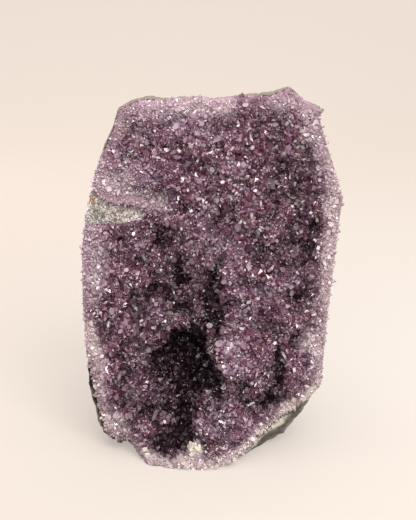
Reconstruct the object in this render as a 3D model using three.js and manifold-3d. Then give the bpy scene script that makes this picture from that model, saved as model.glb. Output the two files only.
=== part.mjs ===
// Amethyst geode, cut flat underneath so that it stands with its crystal face forward.
// Three layers that grew on each other: the outer basalt, a thin band of pale quartz, and the
// crust of amethyst crystals that lines the hollow. Millimetres: X right, Y back, Z up.
import * as THREE from "three";
import { mergeVertices } from "three/addons/utils/BufferGeometryUtils.js";
import Module from "manifold-3d";

const wasm = await Module();
wasm.setup();
const { degToRad, lerp, smoothstep } = THREE.MathUtils;

// Driving dimensions.
const FACE_LEAN = Math.tan(degToRad(8)); // the crystal face leans back
const FACE_MIDDLE = new THREE.Vector2(0, 100);
const ROCK_DEPTH = 84; // from the foot of the face to the back of the rock
const RIM_WALL = 12; // the rock's sides run straight back this far before they close
const LOBE_INSET = 6; // from the edge to where the rock can stand out in front of its rim
const BACK_MIDDLE = new THREE.Vector2(2, 70);
const BACK_HALF_SIZE = new THREE.Vector2(68, 96); // what the rock's outline rounds off towards
const BACK_RINGS = 12;
const CRUST_THICKNESS = 6; // under the crystals' points
const QUARTZ_THICKNESS = 3.5;
const QUARTZ_SUNK = 1.2; // behind the crust's face, where it shows beside it
const DEEPEST_CREASE = 4.2; // so that no crease reaches through the crust
const GAP = 0.3; // between layers
const EDGE_CROWN = 5; // how far the crust stands in front of the rock's rim
const EDGE_ROLL = 9; // how wide the crust's rounded edge is
const CRYSTAL_SIDE = 3.7; // of a crystal's hexagon
const CRYSTAL_HEIGHT = 3.4;
const LAYER_STEP = 11.5; // spacing of the points behind the crust
const FAR = 200; // past every surface, for solids that are cut back later
const SEED = 20;

// The lower corners of the face sweep back, to both sides of its middle.
const CORNER_SWEEP = 9;
const SWEEP_MIDDLE = -6;
const SWEEP_NEAR = 22; // where it starts, to the side
const SWEEP_FAR = 54; // where it is full
const SWEEP_HEIGHT = 70; // above here there is none

// The edge of the crystal face, anticlockwise from the front: x, z, then how far the quartz
// stands out past it, how far the rock's rim stands out past the quartz, and how far the rock
// swells out behind its rim. Where a value is negative that layer is tucked in instead.
const FACE_EDGE = [
  [-36, -12, 1, 1, 2],
  [-20, -14, 1, 1, 0],
  [5, -14, 1, 1, 0],
  [12, -2.5, 1.3, 1, 4],
  [23, 8, 1.4, 1.2, 7],
  [33.5, 17, 1.5, 1.5, 10],
  [46.5, 24.5, 1.5, 1, 5],
  [58.5, 36.5, 1, -2, 1],
  [61.5, 41.5, 0.8, -2, 0],
  [61.8, 52, -0.5, -2, 0],
  [64, 77, -0.5, -2, 0],
  [67, 104, -0.5, -2, 0],
  [70.7, 136, -0.5, -2, 0],
  [71.8, 143, -0.5, -2, 0],
  [67.5, 157, -0.5, -2, 0],
  [61.5, 175, -0.5, -2, 0],
  [59, 184, -0.5, -2, 0],
  [59.4, 189.5, 0.8, -2, 0],
  [51, 194.3, -0.5, -2, -3],
  [42, 200.7, 0.8, -2, -3],
  [33, 197.6, 0.8, -2, -3],
  [16, 197.5, -0.5, -2, -3],
  [1, 195.3, -0.5, -2, -3],
  [-4, 197, -0.5, -2, -3],
  [-20, 196, -0.5, -2, -3],
  [-26, 194.2, 0.8, -2, -3],
  [-33, 195.5, 0.8, -2, -3],
  [-40, 194.3, 0.8, -2, -3],
  [-50, 189, 0.8, -2, -3],
  [-51.5, 182, 0.8, -2, 0],
  [-57, 170, 0.8, -2, 0],
  [-63, 153, 0.8, -2, 0],
  [-67, 133, 0.8, -2, 0],
  [-70.5, 117, -0.5, -2, 0],
  [-70.5, 87, -0.5, -2, 0],
  [-68.5, 60, 0.8, -2, 0],
  [-66, 46, 0.8, 0.8, 1.5],
  [-62.5, 26, 0.8, 1, 2],
  [-59, 11, 0.8, 1, 1.5],
  [-55.5, 8, 1, 1, 1],
  [-51, 6.5, 1, 1, 1],
  [-45, 8, 1, 1, 1],
  [-41, 4, 1, 1, 1],
];

// The broken ledge at the left edge, where the quartz shows bare of crystals: x, z.
const BARE_LEDGE = [
  [-82, 146],
  [-62, 145.5],
  [-55, 142],
  [-44, 140],
  [-37, 137.5],
  [-34, 133.5],
  [-40, 130.5],
  [-50, 129],
  [-82, 129],
];

// Broad swells and hollows of the face: x, z, half width, half height, depth into the rock
// (negative stands out), and its turn in degrees.
const SWELLS = [
  [-4, 92, 44, 62, 9, 0], // the whole face is a shallow bowl
  [-34, 164, 26, 22, -4, 0],
  [22, 168, 30, 24, -2, 0],
  [16, 130, 24, 16, -2, 0],
  [-56, 137, 18, 9, -4, 0], // the ledge
  [-22, 100, 22, 13, 3, 0],
  [53, 118, 9, 42, 5, 2], // trough inside the right edge
  [47, 84, 14, 16, -3, 0],
  [-53, 86, 12, 18, -3, 0],
  [-47, 34, 14, 18, -3, 0],
  [-12, -2, 27, 15, -14, 0], // foot
  [-30, 47, 16, 20, 11, 0], // the deep hollow's long left slope
  [-13, 25, 10, 16, 7, -4], // channel that runs down out of it
];

// Round lobes, and the hollows between them, whose edges are sharp creases. Their numbers are
// as above.
const LOBES = [
  [16, 86, 15, 19, -8, 6], // upper lobe beside the deep hollow
  [18, 57, 18, 24, -14, 16], // great lobe that overlooks the deep hollow
  [8, 20, 21, 20, -10, 0], // lobe at the foot
  [47, 46, 16, 16, -5, 0],
  [-32, 79, 13, 20, -6, -12],
  [-12, 50, 16, 24, 22, 20], // the deep hollow
  [-49, 122, 9, 7, 7, 0], // pockets under the ledge
  [-26, 118, 9, 7, 5, -10],
];

// Narrow creases and pits, shallower than the crust, so that they mark its crystals alone.
const CREASES = [
  [1, 92, 3.5, 18, 3.5, 4],
  [26, 90, 3.5, 10, 3.5, 32],
  [31, 33, 5, 9, 2, 0],
  [35, 57, 5, 7, 3, 0],
  [-46, 82, 4, 13, 3, -18],
  [-54, 54, 6, 6, 3, 0],
  [-3, 131, 12, 4, 2, 0],
  [40, 64, 12, 3, -2, 12],
  [-13, 22, 5, 15, 3, -4],
  [-8, 9, 4.5, 5.5, -3, 0], // small cluster that stands out at the foot
];

/** Repeatable random numbers from 0 to 1. */
function randomNumbers(seed) {
  let state = seed;
  return () => {
    state = (state + 0x6d2b79f5) | 0;
    let mixed = Math.imul(state ^ (state >>> 15), 1 | state);
    mixed = (mixed + Math.imul(mixed ^ (mixed >>> 7), 61 | mixed)) ^ mixed;
    return ((mixed ^ (mixed >>> 14)) >>> 0) / 2 ** 32;
  };
}

/** Where the rim of the rock lies, as a depth. */
function rimDepth(x, z) {
  const toSide = smoothstep(Math.abs(x - SWEEP_MIDDLE), SWEEP_NEAR, SWEEP_FAR);
  const down = 1 - smoothstep(z, 0, SWEEP_HEIGHT);
  return FACE_LEAN * z + CORNER_SWEEP * toSide * down;
}

/** The face's edge pushed outwards at each corner by outset(row) millimetres. */
function outline(outset) {
  return FACE_EDGE.map((row, i) => {
    const before = FACE_EDGE.at(i - 1);
    const after = FACE_EDGE[(i + 1) % FACE_EDGE.length];
    const outwards = new THREE.Vector2(after[1] - before[1], before[0] - after[0]).normalize();
    return new THREE.Vector2(row[0], row[1]).addScaledVector(outwards, outset(row));
  });
}

const crustOutline = outline(() => 0);
const quartzOutline = outline(([, , quartz]) => quartz);
const pocketOutline = outline(([, , quartz]) => Math.max(quartz, 0) + GAP);
const rimOutline = outline(([, , quartz, rock]) => Math.max(quartz, 0) + rock);
const swollenOutline = outline(([, , quartz, rock, swell]) => Math.max(quartz, 0) + rock + swell);

/** How far a point lies inside the edge of the crystal face. Outside it is negative. */
function insideEdge(x, z) {
  const point = new THREE.Vector3(x, z, 0);
  const nearest = new THREE.Vector3();
  let least = Infinity;
  let crossings = 0;
  crustOutline.forEach((corner, i) => {
    const next = crustOutline[(i + 1) % crustOutline.length];
    const start = new THREE.Vector3(corner.x, corner.y, 0);
    const side = new THREE.Line3(start, new THREE.Vector3(next.x, next.y, 0));
    side.closestPointToPoint(point, true, nearest);
    least = Math.min(least, nearest.distanceTo(point));
    const spans = corner.y > z !== next.y > z;
    const reach = corner.x + ((z - corner.y) * (next.x - corner.x)) / (next.y - corner.y);
    if (spans && x < reach) crossings += 1;
  });
  return crossings % 2 ? least : -least;
}

// How high a form stands, where spread is the squared distance from its middle and 1 its edge.
const softProfile = (spread) => Math.exp(-(spread ** 1.25));
const domeProfile = (spread) => Math.max(0, 1 - spread ** 1.5) ** 0.8;
// A lobe as the layers below the crust follow it: narrower under a lump and wider round a
// hollow, so that the crust is thick enough everywhere.
const buriedProfile = (spread, depth) => softProfile(spread * (depth < 0 ? 1.6 : 0.8));

/** Sum of a list's forms at a point of the face, each shaped by a profile. */
function relief(forms, profile, x, z) {
  const centre = new THREE.Vector2();
  return forms.reduce((sum, [formX, formZ, halfWidth, halfHeight, depth, turn]) => {
    const from = new THREE.Vector2(x - formX, z - formZ).rotateAround(centre, -degToRad(turn));
    return sum + depth * profile((from.x / halfWidth) ** 2 + (from.y / halfHeight) ** 2, depth);
  }, 0);
}

/** Depth of the face, its lobes shaped by a profile. */
function faceSurface(lobeProfile, x, z) {
  const inside = insideEdge(x, z);
  const crown = EDGE_CROWN * smoothstep(inside, -2, EDGE_ROLL);
  const forms = relief(SWELLS, softProfile, x, z) + relief(LOBES, lobeProfile, x, z);
  return rimDepth(x, z) - crown + smoothstep(inside, -6, 10) * forms;
}

/** Depth of the surface that the crystals' points grow from. */
function crystalGround(x, z) {
  const clear = smoothstep(insideEdge(x, z), 0, 8);
  const crease = Math.min(relief(CREASES, softProfile, x, z), DEEPEST_CREASE);
  return faceSurface(domeProfile, x, z) + clear * crease;
}

/** The direction that a crystal grows in at a point of the face. */
function outwardsAt(x, z) {
  const step = 1.5;
  const acrossFall = crystalGround(x + step, z) - crystalGround(x - step, z);
  const upFall = crystalGround(x, z + step) - crystalGround(x, z - step);
  return new THREE.Vector3(acrossFall, -2 * step, upFall).normalize();
}

/**
 * A triangular lattice over the whole face, as rows of {x, z, kind}. Kind is 0, 1 or 2, and
 * the six points round one are all of the other two kinds.
 */
function lattice(step) {
  const margin = 14;
  const reach = new THREE.Box2().setFromPoints(crustOutline).expandByScalar(margin);
  const size = reach.getSize(new THREE.Vector2());
  const rowHeight = (step * Math.sqrt(3)) / 2;
  const columns = Math.ceil(size.x / step) + 1;
  const rows = Math.ceil(size.y / rowHeight) + 1;
  return Array.from({ length: rows }, (_, j) =>
    Array.from({ length: columns }, (_, i) => ({
      x: reach.min.x + (i + (j % 2) / 2) * step,
      z: reach.min.y + j * rowHeight,
      kind: (i + 2 * (j % 2)) % 3,
    })),
  );
}

/** A closed geometry as a solid. */
function solid(geometry) {
  const bare = new THREE.BufferGeometry().setAttribute("position", geometry.attributes.position);
  const merged = mergeVertices(bare.setIndex(geometry.index), 1e-4);
  const vertProperties = new Float32Array(merged.attributes.position.array);
  const triVerts = new Uint32Array(merged.index.array);
  return new wasm.Manifold(new wasm.Mesh({ numProp: 3, vertProperties, triVerts }));
}

/** The solid with these points, and triangles given by their numbers. */
function solidOf(points, triangles) {
  const geometry = new THREE.BufferGeometry().setFromPoints(points);
  return solid(geometry.setIndex(triangles));
}

/** Everything behind a surface, given as rows of lattice points, as a solid back to FAR. */
function behind(rows) {
  const columns = rows[0].length;
  const front = rows.flat();
  const back = front.map((point) => new THREE.Vector3(point.x, FAR, point.z));
  const count = front.length;
  const triangles = [];
  const frontAndBack = (a, b, c) => triangles.push(a, b, c, count + a, count + c, count + b);
  const wall = (a, b) => triangles.push(b, a, count + a, b, count + a, count + b);
  for (let j = 0; j + 1 < rows.length; j++) {
    for (let i = 0; i + 1 < columns; i++) {
      const low = j * columns + i;
      const high = low + columns;
      frontAndBack(low, low + 1, j % 2 ? high + 1 : high);
      frontAndBack(j % 2 ? low : low + 1, high + 1, high);
    }
  }
  const lastRow = (rows.length - 1) * columns;
  for (let i = 0; i + 1 < columns; i++) {
    wall(i, i + 1);
    wall(lastRow + i + 1, lastRow + i);
  }
  for (let start = 0; start < lastRow; start += columns) {
    wall(start + columns, start);
    wall(start + columns - 1, start + 2 * columns - 1);
  }
  return solidOf([...front, ...back], triangles);
}

/** A straight solid with this outline, front to back. */
function prism(corners) {
  const shape = new THREE.Shape(corners);
  const geometry = new THREE.ExtrudeGeometry(shape, { depth: 2 * FAR, bevelEnabled: false });
  return solid(geometry.rotateX(Math.PI / 2).translate(0, FAR, 0));
}

/** Everything behind the layers' shared surface, set back by some millimetres. */
function behindLayer(setBack) {
  const layer = ({ x, z }) => new THREE.Vector3(x, faceSurface(buriedProfile, x, z) + setBack, z);
  return behind(lattice(LAYER_STEP).map((row) => row.map(layer)));
}

/** Everything behind the crystals: six-sided points, each tilted and sized a little apart. */
function behindCrystals() {
  const random = randomNumbers(SEED);
  const shift = (most) => (2 * random() - 1) * most * CRYSTAL_SIDE;
  const grow = (point) => {
    const x = point.x + shift(0.16);
    const z = point.z + shift(0.16);
    const placed = new THREE.Vector3(x, crystalGround(x, z), z);
    if (point.kind !== 0) return placed.addScaledVector(outwardsAt(x, z), shift(0.12));
    const grown = lerp(0.45, 1, smoothstep(insideEdge(x, z), -3, 10));
    const height = CRYSTAL_HEIGHT * grown * lerp(0.75, 1.25, random());
    placed.addScaledVector(outwardsAt(x, z), height);
    return placed.add(new THREE.Vector3(shift(0.28), 0, shift(0.28)));
  };
  return behind(lattice(CRYSTAL_SIDE).map((row) => row.map(grow)));
}

/** Uneven ripples through rock, from about -1 to 1. */
function ripples(point, wavelength, seed) {
  const random = randomNumbers(seed);
  const waves = 7;
  let sum = 0;
  for (let i = 0; i < waves; i++) {
    const tilt = Math.acos(2 * random() - 1);
    const heading = new THREE.Vector3().setFromSphericalCoords(1, tilt, 2 * Math.PI * random());
    const turns = heading.dot(point) / (wavelength * lerp(0.7, 1.3, random())) + random();
    sum += 1 - 2 * Math.abs(Math.sin(Math.PI * turns));
  }
  return (0.8 * sum) / Math.sqrt(waves);
}

/** A ring of the rock's rough outside, where back is 0 at its straight sides and 1 behind. */
function outsideRing(back) {
  const spread = (1 - back ** 2) ** 0.35;
  const middle = FACE_MIDDLE.clone().lerp(BACK_MIDDLE, back);
  return swollenOutline.map((side) => {
    const spoke = side.clone().sub(FACE_MIDDLE);
    const angle = spoke.angle();
    const round = new THREE.Vector2(Math.cos(angle), Math.sin(angle)).multiply(BACK_HALF_SIZE);
    spoke.lerp(round, back).multiplyScalar(spread);
    const depth = lerp(rimDepth(side.x, side.y) + RIM_WALL, ROCK_DEPTH, back);
    const point = new THREE.Vector3(middle.x + spoke.x, depth, middle.y + spoke.y);
    const outwards = new THREE.Vector3(spoke.x, ROCK_DEPTH * back, spoke.y).normalize();
    const rough = 2.8 * ripples(point, 46, SEED + 1) + 1.4 * ripples(point, 19, SEED + 2);
    return point.addScaledVector(outwards, rough * smoothstep(back, 0, 0.5));
  });
}

/** The whole rock before the hollow: its sides run straight back, then close to a blunt back. */
function rockBody() {
  const rings = [rimOutline.map(({ x, y }) => new THREE.Vector3(x, rimDepth(x, y), y))];
  for (let ring = 0; ring < BACK_RINGS; ring++) {
    rings.push(outsideRing(Math.sin(((ring / BACK_RINGS) * Math.PI) / 2)));
  }
  const points = rings.flat();
  const count = rimOutline.length;
  const last = BACK_RINGS * count;
  const front = points.push(new THREE.Vector3(FACE_MIDDLE.x, RIM_WALL, FACE_MIDDLE.y)) - 1;
  const pole = points.push(new THREE.Vector3(BACK_MIDDLE.x, ROCK_DEPTH, BACK_MIDDLE.y)) - 1;
  const triangles = [];
  for (let i = 0; i < count; i++) {
    const next = (i + 1) % count;
    triangles.push(front, i, next);
    for (let near = 0; near < last; near += count) {
      const far = near + count;
      triangles.push(near + i, far + i, near + next, near + next, far + i, far + next);
    }
    triangles.push(pole, last + next, last + i);
  }
  return solidOf(points, triangles);
}

/** What is above the flat cut that the geode stands on. */
function aboveBase() {
  return solid(new THREE.BoxGeometry(4 * FAR, 4 * FAR, 2 * FAR).translate(0, 0, FAR));
}

/** The bare ledge's outline as a prism, pushed in by some millimetres. */
function ledge(inset) {
  const corners = BARE_LEDGE.map(([x, z]) => new THREE.Vector2(x, z));
  const middle = new THREE.Box2().setFromPoints(corners).getCenter(new THREE.Vector2());
  return prism(corners.map((corner) => corner.add(middle.clone().sub(corner).setLength(inset))));
}

/** The crystal face's outline as a prism, pushed out by some millimetres. */
function crystalFace(outset) {
  return prism(outline(() => outset)).subtract(ledge(outset));
}

/** The amethyst crust that lines the face. */
function crystalCrust() {
  return behindCrystals()
    .intersect(crystalFace(0))
    .subtract(behindLayer(CRUST_THICKNESS))
    .intersect(aboveBase());
}

/** The pale quartz between the crust and the rock. */
function quartzBand() {
  const crustPocket = crystalFace(GAP).subtract(behindLayer(CRUST_THICKNESS + GAP));
  return behindLayer(QUARTZ_SUNK)
    .intersect(prism(quartzOutline))
    .subtract(behindLayer(CRUST_THICKNESS + QUARTZ_THICKNESS))
    .subtract(crustPocket)
    .intersect(aboveBase());
}

/** The basalt, with the pocket that the quartz and the crust fill. */
function basaltShell() {
  const floor = behindLayer(CRUST_THICKNESS + QUARTZ_THICKNESS + GAP);
  const pocket = prism(pocketOutline).subtract(floor);
  // The lobes that stand out in front of the rim have rock behind them too.
  const forward = new THREE.BoxGeometry(4 * FAR, FAR, 4 * FAR).translate(0, RIM_WALL - FAR / 2, 0);
  const lobes = solid(forward).intersect(prism(outline(() => -LOBE_INSET)));
  return rockBody().add(floor.intersect(lobes)).subtract(pocket).intersect(aboveBase());
}

/** A named mesh of a solid, with flat faces and a stone's finish. */
function layer(name, made, color, roughness) {
  const { vertProperties, triVerts } = made.getMesh();
  const geometry = new THREE.BufferGeometry();
  geometry.setAttribute("position", new THREE.BufferAttribute(vertProperties, 3));
  geometry.setIndex(new THREE.BufferAttribute(triVerts, 1));
  const finish = { color, roughness, metalness: 0, flatShading: true };
  const mesh = new THREE.Mesh(geometry, new THREE.MeshStandardMaterial(finish));
  mesh.name = name;
  return mesh;
}

const geode = new THREE.Group();
geode.add(
  layer("basalt_shell", basaltShell(), 0x5c5b50, 0.85),
  layer("quartz_band", quartzBand(), 0xb3a9a0, 0.5),
  layer("amethyst_crust", crystalCrust(), 0x77596c, 0.25),
);

// The origin is under the middle of the whole.
const bounds = new THREE.Box3().setFromObject(geode);
const middle = bounds.getCenter(new THREE.Vector3());
geode.children.forEach((mesh) => mesh.geometry.translate(-middle.x, -middle.y, -bounds.min.z));

export default geode;
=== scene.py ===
"""Dresses the cut amethyst geode: its basalt, its quartz band and its druse of small crystals.

Everything is in metres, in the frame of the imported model: X right, Y back, Z up.
"""

import logging
import math
from collections.abc import Callable, Sequence
from dataclasses import dataclass
from enum import Enum

import bpy
import numpy as np
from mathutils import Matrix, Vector, noise
from mathutils.bvhtree import BVHTree

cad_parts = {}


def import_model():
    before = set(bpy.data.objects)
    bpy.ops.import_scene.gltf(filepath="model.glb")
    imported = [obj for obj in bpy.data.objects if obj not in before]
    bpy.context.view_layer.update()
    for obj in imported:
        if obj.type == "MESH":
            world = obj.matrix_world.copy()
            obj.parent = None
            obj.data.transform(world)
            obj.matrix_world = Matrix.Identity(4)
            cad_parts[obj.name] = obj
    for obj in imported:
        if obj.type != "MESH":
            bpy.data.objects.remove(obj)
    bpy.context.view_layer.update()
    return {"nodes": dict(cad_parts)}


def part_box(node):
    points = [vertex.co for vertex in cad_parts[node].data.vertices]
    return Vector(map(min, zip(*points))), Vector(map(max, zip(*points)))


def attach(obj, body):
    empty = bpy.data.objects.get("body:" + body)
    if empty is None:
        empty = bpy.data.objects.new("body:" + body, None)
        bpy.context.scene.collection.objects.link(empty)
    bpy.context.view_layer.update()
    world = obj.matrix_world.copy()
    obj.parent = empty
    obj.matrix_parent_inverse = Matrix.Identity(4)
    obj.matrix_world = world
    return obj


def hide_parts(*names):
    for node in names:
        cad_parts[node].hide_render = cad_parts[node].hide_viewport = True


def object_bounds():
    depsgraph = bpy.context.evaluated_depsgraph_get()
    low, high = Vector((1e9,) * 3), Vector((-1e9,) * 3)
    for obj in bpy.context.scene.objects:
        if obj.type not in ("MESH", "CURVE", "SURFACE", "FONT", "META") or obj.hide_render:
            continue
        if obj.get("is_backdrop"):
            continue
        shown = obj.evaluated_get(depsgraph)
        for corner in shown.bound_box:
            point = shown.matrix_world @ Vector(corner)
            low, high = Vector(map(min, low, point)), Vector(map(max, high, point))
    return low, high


MM = 0.001
NOISE_SEED = 6  # of the noise that bends knobs and streaks
QUARTZ_IOR = 1.544
LOG = logging.getLogger("geode")
Grid = np.ndarray
Place = tuple[float, float]
LEDGE: Place = (-50 * MM, 141 * MM)  # the gap in the crystals where the quartz band shows


def linear(hex_colour: str) -> tuple[float, float, float, float]:
    """Turns an sRGB colour into the linear one that shaders and lights take.

    Args:
        hex_colour: Six hex digits, such as "8a6f7c".

    Returns:
        Linear red, green and blue, and an alpha of 1.
    """
    channels = [int(hex_colour[i : i + 2], 16) / 255 for i in (0, 2, 4)]
    red, green, blue = (c / 12.92 if c <= 0.04045 else ((c + 0.055) / 1.055) ** 2.4 for c in channels)
    return red, green, blue, 1.0


def smooth_step(value: Grid, low: float, high: float) -> Grid:
    """Rises smoothly from 0 at low to 1 at high.

    Args:
        value: What is measured.
        low: Where the rise starts.
        high: Where it ends; it may be less than low, and then the result falls.

    Returns:
        An array of 0 to 1, as long as value.
    """
    share = np.clip((value - low) / (high - low), 0, 1)
    return share * share * (3 - 2 * share)


def add_node(
    tree: bpy.types.NodeTree, kind: str, feeds: dict[str | int, object] | None = None, **settings: object
) -> bpy.types.Node:
    """Adds a node to a tree.

    Args:
        tree: A material's or a geometry tree.
        kind: The node's type name.
        feeds: For an input's name or number, the socket that is linked to it or its plain value.
        **settings: Properties that are set before the inputs.

    Returns:
        The new node.
    """
    node = tree.nodes.new(kind)
    for name, value in settings.items():
        setattr(node, name, value)
    for key, value in (feeds or {}).items():
        if isinstance(value, bpy.types.NodeSocket):
            tree.links.new(value, node.inputs[key])
        else:
            node.inputs[key].default_value = value
    return node


# --------------------------------------------------------------------------- meshes


def points_of(mesh: bpy.types.Mesh) -> Grid:
    """The mesh's vertices as rows of x, y and z."""
    flat = np.empty(3 * len(mesh.vertices), np.float32)
    mesh.vertices.foreach_get("co", flat)
    return flat.reshape(-1, 3).astype(float)


def set_points(mesh: bpy.types.Mesh, points: Grid) -> None:
    """Moves the vertices to rows of x, y and z, none of them under the flat cut at zero height."""
    points[:, 2] = np.maximum(points[:, 2], 0)
    mesh.vertices.foreach_set("co", points.astype(np.float32).ravel())
    mesh.update()


def normals_of(mesh: bpy.types.Mesh) -> Grid:
    """The mesh's vertex normals as rows of x, y and z."""
    flat = np.empty(3 * len(mesh.vertices), np.float32)
    mesh.vertex_normals.foreach_get("vector", flat)
    return flat.reshape(-1, 3).astype(float)


def set_attribute(mesh: bpy.types.Mesh, name: str, values: Grid) -> None:
    """Stores a number for each vertex under a name that trees can read."""
    layer = mesh.attributes.new(name, "FLOAT", "POINT")
    layer.data.foreach_set("value", values.astype(np.float32))


def noise_at(points: Grid, read: Callable[[Vector], float | Vector], size: float) -> Grid:
    """Reads a noise at each of a mesh's points.

    Args:
        points: Rows of x, y and z.
        read: What gives the noise at a place.
        size: The width of its lumps.

    Returns:
        A number or a row for each point.
    """
    return np.array([read(Vector(point) / size) for point in points])


def new_object(name: str, mesh: bpy.types.Mesh) -> bpy.types.Object:
    """Puts a mesh in the scene as an object at the origin."""
    made = bpy.data.objects.new(name, mesh)
    bpy.context.scene.collection.objects.link(made)
    return made


def evaluated_mesh(piece: bpy.types.Object) -> bpy.types.Mesh:
    """The piece's mesh as its modifiers leave it."""
    graph = bpy.context.evaluated_depsgraph_get()
    return bpy.data.meshes.new_from_object(piece.evaluated_get(graph))


def apply_modifiers(piece: bpy.types.Object) -> None:
    """Makes the piece's modifiers part of its mesh."""
    made = evaluated_mesh(piece)
    piece.modifiers.clear()
    piece.data = made


def remeshed_copy(node: bpy.types.Object, name: str, voxel: float) -> bpy.types.Object:
    """Copies a node of the frame as one even, closed mesh.

    Args:
        node: The node, whose own mesh is loose triangles and is left alone.
        name: The new piece's name.
        voxel: The spacing of the new mesh's points.

    Returns:
        The new piece.
    """
    source = node.data
    corners = points_of(source)
    _, first, merged = np.unique(
        np.round(corners, 6), axis=0, return_index=True, return_inverse=True
    )
    faces = [[int(merged[i]) for i in face.vertices] for face in source.polygons]
    mesh = bpy.data.meshes.new(name)
    mesh.from_pydata(corners[first].tolist(), [], [f for f in faces if len(set(f)) == len(f)])
    piece = new_object(name, mesh)
    remesh = piece.modifiers.new("even", "REMESH")
    remesh.mode = "VOXEL"
    remesh.voxel_size = voxel
    apply_modifiers(piece)
    return piece


def ride(piece: bpy.types.Object) -> bpy.types.Object:
    """Fixes a finished piece to the geode's one body and logs how many faces it has."""
    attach(piece, "root")
    LOG.info("%s: %d faces", piece.name, len(piece.data.polygons))
    return piece


# --------------------------------------------------------------------------- the face's relief


@dataclass(frozen=True)
class Relief:
    """The crystal face seen from the front, as a grid of numbers.

    Rows run up Z and columns along X. A cell beside the face holds no number.
    """

    left: float
    bottom: float
    step: float
    cells: Grid

    @classmethod
    def of_node(cls, node: bpy.types.Object, step: float) -> "Relief":
        """Measures a node's depth along Y from in front.

        Args:
            node: A node of the frame.
            step: The grid's spacing.

        Returns:
            The relief, its numbers places on Y.
        """
        low, high = (np.array(corner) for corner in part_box(node.name))
        tree = BVHTree.FromObject(node, bpy.context.evaluated_depsgraph_get())
        columns = int((high[0] - low[0]) / step) + 1
        rows = int((high[2] - low[2]) / step) + 1
        cells = np.full((rows, columns), np.nan)
        for j in range(rows):
            for i in range(columns):
                start = Vector((low[0] + (i + 0.5) * step, low[1] - step, low[2] + (j + 0.5) * step))
                hit = tree.ray_cast(start, Vector((0, 1, 0)))[0]
                if hit:
                    cells[j, i] = hit.y
        return cls(low[0] + step / 2, low[2] + step / 2, step, cells)

    def with_cells(self, cells: Grid) -> "Relief":
        """The same grid with other numbers."""
        return Relief(self.left, self.bottom, self.step, cells)

    def gathered(self, radius: float, pick: Callable[[Grid, Grid], Grid]) -> "Relief":
        """Gives each cell the least or greatest number within a disc round it.

        Args:
            radius: The disc's radius.
            pick: np.fmin or np.fmax.

        Returns:
            The new relief, which also fills cells beside the face within the radius.
        """
        reach = int(radius / self.step)
        rows, columns = self.cells.shape
        padded = np.pad(self.cells, reach, constant_values=np.nan)
        result = self.cells
        for j in range(2 * reach + 1):
            for i in range(2 * reach + 1):
                if math.hypot(i - reach, j - reach) * self.step <= radius:
                    result = pick(result, padded[j : j + rows, i : i + columns])
        return self.with_cells(result)

    def blurred(self, sigma: float) -> "Relief":
        """Averages the numbers with a soft round weight; cells beside the face count nothing."""
        reach = int(3 * sigma / self.step)
        weights = np.exp(-0.5 * (np.arange(-reach, reach + 1) * self.step / sigma) ** 2)

        def soften(grid: Grid) -> Grid:
            """Softens a grid along both ways."""
            for axis in (0, 1):
                grid = np.apply_along_axis(np.convolve, axis, grid, weights, "same")
            return grid

        held = np.isfinite(self.cells)
        total = soften(held.astype(float))
        with np.errstate(invalid="ignore"):
            result = soften(np.where(held, self.cells, 0)) / total
        return self.with_cells(np.where(total > 1e-6, result, np.nan))

    def without_points(self, radius: float, sigma: float) -> "Relief":
        """Takes away what stands out and is narrower than a disc, such as a crystal's point.

        Args:
            radius: The disc's radius.
            sigma: How softly the result is smoothed.

        Returns:
            The smooth relief, which reaches a little past the face's edge.
        """
        closed = self.gathered(radius, np.fmax).gathered(radius, np.fmin)
        inside = closed.with_cells(np.where(np.isfinite(self.cells), closed.cells, np.nan))
        wide = inside.blurred(sigma)
        filled = np.where(np.isfinite(wide.cells), wide.cells, np.nanmean(wide.cells))
        return self.with_cells(filled)

    def at(self, x: Grid, z: Grid) -> Grid:
        """Reads the relief between its cells.

        Args:
            x: Places on X.
            z: Places on Z, as many.

        Returns:
            The number at each place.
        """
        rows, columns = self.cells.shape
        across = np.clip((x - self.left) / self.step, 0, columns - 1.001)
        up = np.clip((z - self.bottom) / self.step, 0, rows - 1.001)
        i, j = across.astype(int), up.astype(int)
        u, v = across - i, up - j
        low = self.cells[j, i] * (1 - u) + self.cells[j, i + 1] * u
        high = self.cells[j + 1, i] * (1 - u) + self.cells[j + 1, i + 1] * u
        return low * (1 - v) + high * v

    def from_edge(self, x: Grid, z: Grid) -> Grid:
        """How far places lie from the face's edge, seen from the front.

        Args:
            x: Places on X.
            z: Places on Z, as many.

        Returns:
            A distance for each place.
        """
        held = np.pad(np.isfinite(self.cells), 1)
        buried = held[:-2, 1:-1] & held[2:, 1:-1] & held[1:-1, :-2] & held[1:-1, 2:]
        j, i = np.nonzero(held[1:-1, 1:-1] & ~buried)
        edge = np.stack([self.left + i * self.step, self.bottom + j * self.step], axis=1)
        edge = edge[edge[:, 1] > 2 * self.step]
        nearest = np.empty(len(x))
        for part in np.array_split(np.arange(len(x)), max(1, len(x) // 2000)):
            away = np.stack([x[part], z[part]], axis=1)[:, None, :] - edge[None, :, :]
            nearest[part] = np.sqrt((away**2).sum(axis=2).min(axis=1))
        return nearest


# --------------------------------------------------------------------------- finishes


@dataclass(frozen=True)
class Layer:
    """A colour that covers those before it as a number rises from low to high."""

    number: bpy.types.NodeSocket
    low: float
    high: float
    colour: str
    most: float = 1.0  # how much it covers at high


def layered_colour(tree: bpy.types.NodeTree, first: str, layers: Sequence[Layer]) -> bpy.types.NodeSocket:
    """Lays colours over one another.

    Args:
        tree: The material's tree.
        first: The colour under all the others.
        layers: The others, in order.

    Returns:
        The finished colour.
    """
    colour = linear(first)
    for layer in layers:
        share = add_node(
            tree, "ShaderNodeMapRange", {0: layer.number, 1: layer.low, 2: layer.high, 4: layer.most}
        ).outputs[0]
        feeds = {0: share, 6: colour, 7: linear(layer.colour)}
        colour = add_node(tree, "ShaderNodeMix", feeds, data_type="RGBA").outputs[2]
    return colour


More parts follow.
